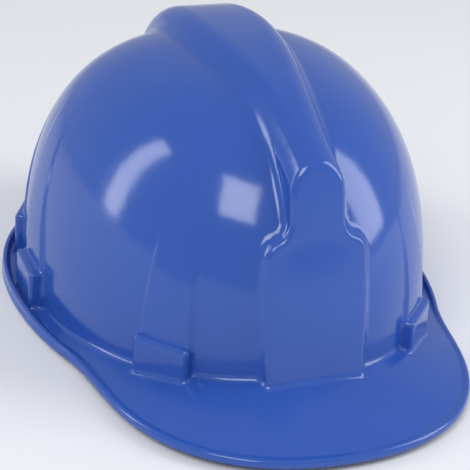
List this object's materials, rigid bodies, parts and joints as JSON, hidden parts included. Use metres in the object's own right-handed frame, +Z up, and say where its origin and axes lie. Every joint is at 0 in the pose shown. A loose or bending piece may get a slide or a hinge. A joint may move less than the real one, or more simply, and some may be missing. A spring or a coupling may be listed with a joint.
{
  "type": "hard hat",
  "caption": "Safety helmet with a ridged moulded shell, front peak, rain gutter, webbing cradle and ratchet headband.",
  "frame": {"origin": "on the plane the rim rests on, midway along the overall length and width", "axes": "+Z up, the peak points to -Y, the wearer's left is +X"},
  "size_m": [0.2232, 0.303, 0.1463],
  "materials": {
    "shell_plastic": "glossy moulded polyethylene, royal blue",
    "key_plastic": "satin moulded nylon, off-white",
    "band_plastic": "satin moulded polyethylene, off-white",
    "rack_plastic": "satin moulded nylon, off-white",
    "ratchet_plastic": "fine-grained black plastic",
    "knob_plastic": "fine-grained black plastic",
    "gear_plastic": "natural acetal",
    "rivet_plastic": "satin black plastic",
    "screw_steel": "zinc-plated steel",
    "webbing": "woven polyester webbing, blue",
    "sweatband_foam": "black terry-faced foam",
    "foam": "black fabric-faced foam"
  },
  "bodies": {
    "shell": {"shell": "shell_plastic"},
    "harness": {"key_front_left": "key_plastic", "key_front_right": "key_plastic", "key_rear_left": "key_plastic", "key_rear_right": "key_plastic", "hanger_front_left": "key_plastic", "hanger_front_right": "key_plastic", "hanger_rear_left": "key_plastic", "hanger_rear_right": "key_plastic", "key_rivets": "rivet_plastic", "band_studs": "rivet_plastic", "crown_strap_left": "webbing", "crown_strap_right": "webbing", "crown_pad": "foam", "headband": "band_plastic", "sweatband": "sweatband_foam", "keeper_left": "band_plastic", "keeper_right": "band_plastic", "ratchet_base": "ratchet_plastic", "ratchet_cover": "ratchet_plastic", "cover_screws": "screw_steel", "nape_pad": "foam"},
    "knob": {"ratchet_pinion": "gear_plastic", "ratchet_knob": "knob_plastic", "knob_screw": "screw_steel"},
    "rack_left": {"rack_strap_left": "rack_plastic"},
    "rack_right": {"rack_strap_right": "rack_plastic"}
  },
  "joints": [
    {"name": "harness_pull", "type": "slide", "parent": "shell", "child": "harness", "axis": [0, 0, -1], "range_m": [0, 0.04]},
    {"name": "knob_turn", "type": "hinge", "parent": "harness", "child": "knob", "pos_m": [0, 0.11885, 0.028], "axis": [0, 1, 0], "range_deg": [-200, 140]},
    {"name": "rack_left_slide", "type": "hinge", "parent": "harness", "child": "rack_left", "pos_m": [0, 0.034, 0.028], "axis": [0, 0, 1], "range_deg": [-15.03, 10.55]},
    {"name": "rack_right_slide", "type": "hinge", "parent": "harness", "child": "rack_right", "pos_m": [0, 0.034, 0.028], "axis": [0, 0, 1], "range_deg": [-10.78, 15.36]}
  ],
  "couplings": [
    {"joint": "rack_left_slide", "follows": "knob_turn", "ratio": 0.074673},
    {"joint": "rack_right_slide", "follows": "knob_turn", "ratio": -0.076287}
  ]
}
